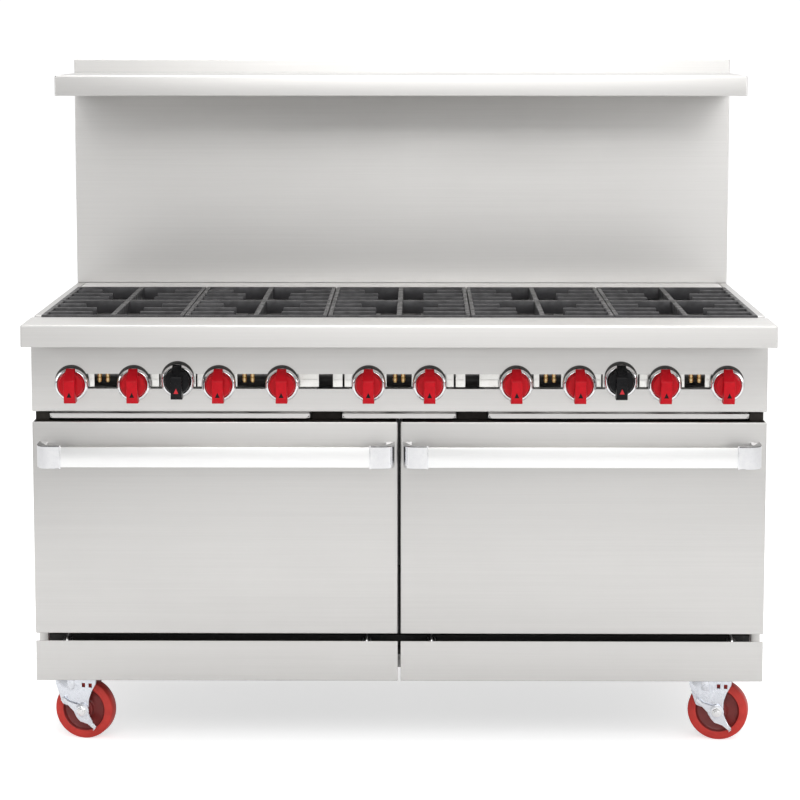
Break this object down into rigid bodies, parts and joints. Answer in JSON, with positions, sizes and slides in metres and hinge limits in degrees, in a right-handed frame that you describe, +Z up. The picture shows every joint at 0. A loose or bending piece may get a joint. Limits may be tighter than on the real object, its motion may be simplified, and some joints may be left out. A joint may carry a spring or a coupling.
{
  "type": "freestanding gas range",
  "caption": "Wide freestanding commercial gas range with an open burner top, high shelf, drop-down oven doors, crumb trays, knobs and swivel casters.",
  "frame": {"origin": "on the floor, below the centre of the range's bounding box", "axes": "+X to the right seen from the front, -Y towards the cook, +Z up"},
  "size_m": [1.524, 0.88, 1.4307],
  "materials": {
    "stainless": "satin",
    "handle_steel": "polished",
    "rack_wire": "polished",
    "oven_enamel": "gloss",
    "galvanised_steel": "satin",
    "manifold": "satin",
    "cast_iron": "matte",
    "burner_iron": "matte",
    "zinc_plate": "satin",
    "knob_red": "gloss",
    "knob_black": "gloss",
    "wheel_tyre": "satin"
  },
  "bodies": {
    "range_body": {"base_frame": "galvanised_steel", "side_panel_left": "stainless", "side_panel_right": "stainless", "rear_panel": "galvanised_steel", "kick_panel_left": "stainless", "kick_panel_right": "stainless", "oven_liner_left": "oven_enamel", "oven_liner_right": "oven_enamel", "oven_rack_left": "rack_wire", "oven_rack_right": "rack_wire", "control_panel": "stainless", "gas_manifold": "manifold", "front_rail": "stainless", "burner_box": "stainless", "burner_set_left": "burner_iron", "burner_set_centre": "burner_iron", "burner_set_right": "burner_iron", "backguard": "stainless", "high_shelf": "stainless"},
    "oven_door_left": {"door_outer_left": "stainless", "door_inner_left": "stainless", "door_handle_left": "handle_steel"},
    "oven_door_right": {"door_outer_right": "stainless", "door_inner_right": "stainless", "door_handle_right": "handle_steel"},
    "crumb_tray_left": {"crumb_tray_left": "stainless"},
    "crumb_tray_centre": {"crumb_tray_centre": "stainless"},
    "crumb_tray_right": {"crumb_tray_right": "stainless"},
    "burner_knob_01": {"burner_knob_01": "knob_red"},
    "burner_knob_02": {"burner_knob_02": "knob_red"},
    "burner_knob_03": {"burner_knob_03": "knob_red"},
    "burner_knob_04": {"burner_knob_04": "knob_red"},
    "burner_knob_05": {"burner_knob_05": "knob_red"},
    "burner_knob_06": {"burner_knob_06": "knob_red"},
    "burner_knob_07": {"burner_knob_07": "knob_red"},
    "burner_knob_08": {"burner_knob_08": "knob_red"},
    "burner_knob_09": {"burner_knob_09": "knob_red"},
    "burner_knob_10": {"burner_knob_10": "knob_red"},
    "thermostat_knob_left": {"thermostat_knob_left": "knob_black"},
    "thermostat_knob_right": {"thermostat_knob_right": "knob_black"},
    "caster_front_left": {"caster_fork_front_left": "zinc_plate"},
    "wheel_front_left": {"caster_wheel_front_left": "wheel_tyre"},
    "brake_front_left": {"brake_lever_front_left": "zinc_plate"},
    "caster_front_right": {"caster_fork_front_right": "zinc_plate"},
    "wheel_front_right": {"caster_wheel_front_right": "wheel_tyre"},
    "brake_front_right": {"brake_lever_front_right": "zinc_plate"},
    "caster_rear_left": {"caster_fork_rear_left": "zinc_plate"},
    "wheel_rear_left": {"caster_wheel_rear_left": "wheel_tyre"},
    "caster_rear_right": {"caster_fork_rear_right": "zinc_plate"},
    "wheel_rear_right": {"caster_wheel_rear_right": "wheel_tyre"},
    "grate_front_1": {"grate_front_1": "cast_iron"},
    "grate_rear_1": {"grate_rear_1": "cast_iron"},
    "grate_front_2": {"grate_front_2": "cast_iron"},
    "grate_rear_2": {"grate_rear_2": "cast_iron"},
    "grate_front_3": {"grate_front_3": "cast_iron"},
    "grate_rear_3": {"grate_rear_3": "cast_iron"},
    "grate_front_4": {"grate_front_4": "cast_iron"},
    "grate_rear_4": {"grate_rear_4": "cast_iron"},
    "grate_front_5": {"grate_front_5": "cast_iron"},
    "grate_rear_5": {"grate_rear_5": "cast_iron"}
  },
  "joints": [
    {"name": "oven_door_left_hinge", "type": "hinge", "parent": "range_body", "child": "oven_door_left", "pos_m": [-0.3821, -0.281, 0.2183], "axis": [1, 0, 0], "range_deg": [0, 90], "stiffness_Nm_per_rad": 8, "springref_deg": -20.05},
    {"name": "oven_door_right_hinge", "type": "hinge", "parent": "range_body", "child": "oven_door_right", "pos_m": [0.3821, -0.281, 0.2183], "axis": [1, 0, 0], "range_deg": [0, 90], "stiffness_Nm_per_rad": 8, "springref_deg": -20.05},
    {"name": "crumb_tray_left_slide", "type": "slide", "parent": "range_body", "child": "crumb_tray_left", "axis": [0, -1, 0], "range_m": [0, 0.5]},
    {"name": "crumb_tray_centre_slide", "type": "slide", "parent": "range_body", "child": "crumb_tray_centre", "axis": [0, -1, 0], "range_m": [0, 0.5]},
    {"name": "crumb_tray_right_slide", "type": "slide", "parent": "range_body", "child": "crumb_tray_right", "axis": [0, -1, 0], "range_m": [0, 0.5]},
    {"name": "burner_knob_01_turn", "type": "hinge", "parent": "range_body", "child": "burner_knob_01", "pos_m": [-0.678, -0.313, 0.7714], "axis": [0, -1, 0], "range_deg": [0, 90]},
    {"name": "burner_knob_02_turn", "type": "hinge", "parent": "range_body", "child": "burner_knob_02", "pos_m": [-0.549, -0.313, 0.7714], "axis": [0, -1, 0], "range_deg": [0, 90]},
    {"name": "burner_knob_03_turn", "type": "hinge", "parent": "range_body", "child": "burner_knob_03", "pos_m": [-0.373, -0.313, 0.7714], "axis": [0, -1, 0], "range_deg": [0, 90]},
    {"name": "burner_knob_04_turn", "type": "hinge", "parent": "range_body", "child": "burner_knob_04", "pos_m": [-0.242, -0.313, 0.7714], "axis": [0, -1, 0], "range_deg": [0, 90]},
    {"name": "burner_knob_05_turn", "type": "hinge", "parent": "range_body", "child": "burner_knob_05", "pos_m": [-0.063, -0.313, 0.7714], "axis": [0, -1, 0], "range_deg": [0, 90]},
    {"name": "burner_knob_06_turn", "type": "hinge", "parent": "range_body", "child": "burner_knob_06", "pos_m": [0.063, -0.313, 0.7714], "axis": [0, -1, 0], "range_deg": [0, 90]},
    {"name": "burner_knob_07_turn", "type": "hinge", "parent": "range_body", "child": "burner_knob_07", "pos_m": [0.242, -0.313, 0.7714], "axis": [0, -1, 0], "range_deg": [0, 90]},
    {"name": "burner_knob_08_turn", "type": "hinge", "parent": "range_body", "child": "burner_knob_08", "pos_m": [0.373, -0.313, 0.7714], "axis": [0, -1, 0], "range_deg": [0, 90]},
    {"name": "burner_knob_09_turn", "type": "hinge", "parent": "range_body", "child": "burner_knob_09", "pos_m": [0.549, -0.313, 0.7714], "axis": [0, -1, 0], "range_deg": [0, 90]},
    {"name": "burner_knob_10_turn", "type": "hinge", "parent": "range_body", "child": "burner_knob_10", "pos_m": [0.678, -0.313, 0.7714], "axis": [0, -1, 0], "range_deg": [0, 90]},
    {"name": "thermostat_knob_left_turn", "type": "hinge", "parent": "range_body", "child": "thermostat_knob_left", "pos_m": [-0.458, -0.313, 0.7797], "axis": [0, -1, 0], "range_deg": [0, 270]},
    {"name": "thermostat_knob_right_turn", "type": "hinge", "parent": "range_body", "child": "thermostat_knob_right", "pos_m": [0.458, -0.313, 0.7797], "axis": [0, -1, 0], "range_deg": [0, 270]},
    {"name": "caster_front_left_swivel", "type": "hinge", "parent": "range_body", "child": "caster_front_left", "pos_m": [-0.698, -0.22, 0.15], "axis": [0, 0, 1], "continuous": true},
    {"name": "wheel_front_left_spin", "type": "hinge", "parent": "caster_front_left", "child": "wheel_front_left", "pos_m": [-0.66866, -0.22624, 0.0635], "axis": [0.2079, 0.9781, 0], "continuous": true},
    {"name": "brake_front_left_lever", "type": "hinge", "parent": "caster_front_left", "child": "brake_front_left", "pos_m": [-0.66866, -0.22624, 0.0635], "axis": [0.2079, 0.9781, 0], "range_deg": [0, 18]},
    {"name": "caster_front_right_swivel", "type": "hinge", "parent": "range_body", "child": "caster_front_right", "pos_m": [0.649, -0.22, 0.15], "axis": [0, 0, 1], "continuous": true},
    {"name": "wheel_front_right_spin", "type": "hinge", "parent": "caster_front_right", "child": "wheel_front_right", "pos_m": [0.67834, -0.22624, 0.0635], "axis": [0.2079, 0.9781, 0], "continuous": true},
    {"name": "brake_front_right_lever", "type": "hinge", "parent": "caster_front_right", "child": "brake_front_right", "pos_m": [0.67834, -0.22624, 0.0635], "axis": [0.2079, 0.9781, 0], "range_deg": [0, 18]},
    {"name": "caster_rear_left_swivel", "type": "hinge", "parent": "range_body", "child": "caster_rear_left", "pos_m": [-0.698, 0.335, 0.15], "axis": [0, 0, 1], "continuous": true},
    {"name": "wheel_rear_left_spin", "type": "hinge", "parent": "caster_rear_left", "child": "wheel_rear_left", "pos_m": [-0.69024, 0.36398, 0.0635], "axis": [-0.9659, 0.2588, 0], "continuous": true},
    {"name": "caster_rear_right_swivel", "type": "hinge", "parent": "range_body", "child": "caster_rear_right", "pos_m": [0.649, 0.335, 0.15], "axis": [0, 0, 1], "continuous": true},
    {"name": "wheel_rear_right_spin", "type": "hinge", "parent": "caster_rear_right", "child": "wheel_rear_right", "pos_m": [0.65676, 0.36398, 0.0635], "axis": [-0.9659, 0.2588, 0], "continuous": true},
    {"name": "grate_front_1_lift", "type": "slide", "parent": "range_body", "child": "grate_front_1", "axis": [0, 0, 1], "range_m": [0, 0.06]},
    {"name": "grate_rear_1_lift", "type": "slide", "parent": "range_body", "child": "grate_rear_1", "axis": [0, 0, 1], "range_m": [0, 0.06]},
    {"name": "grate_front_2_lift", "type": "slide", "parent": "range_body", "child": "grate_front_2", "axis": [0, 0, 1], "range_m": [0, 0.06]},
    {"name": "grate_rear_2_lift", "type": "slide", "parent": "range_body", "child": "grate_rear_2", "axis": [0, 0, 1], "range_m": [0, 0.06]},
    {"name": "grate_front_3_lift", "type": "slide", "parent": "range_body", "child": "grate_front_3", "axis": [0, 0, 1], "range_m": [0, 0.06]},
    {"name": "grate_rear_3_lift", "type": "slide", "parent": "range_body", "child": "grate_rear_3", "axis": [0, 0, 1], "range_m": [0, 0.06]},
    {"name": "grate_front_4_lift", "type": "slide", "parent": "range_body", "child": "grate_front_4", "axis": [0, 0, 1], "range_m": [0, 0.06]},
    {"name": "grate_rear_4_lift", "type": "slide", "parent": "range_body", "child": "grate_rear_4", "axis": [0, 0, 1], "range_m": [0, 0.06]},
    {"name": "grate_front_5_lift", "type": "slide", "parent": "range_body", "child": "grate_front_5", "axis": [0, 0, 1], "range_m": [0, 0.06]},
    {"name": "grate_rear_5_lift", "type": "slide", "parent": "range_body", "child": "grate_rear_5", "axis": [0, 0, 1], "range_m": [0, 0.06]}
  ]
}
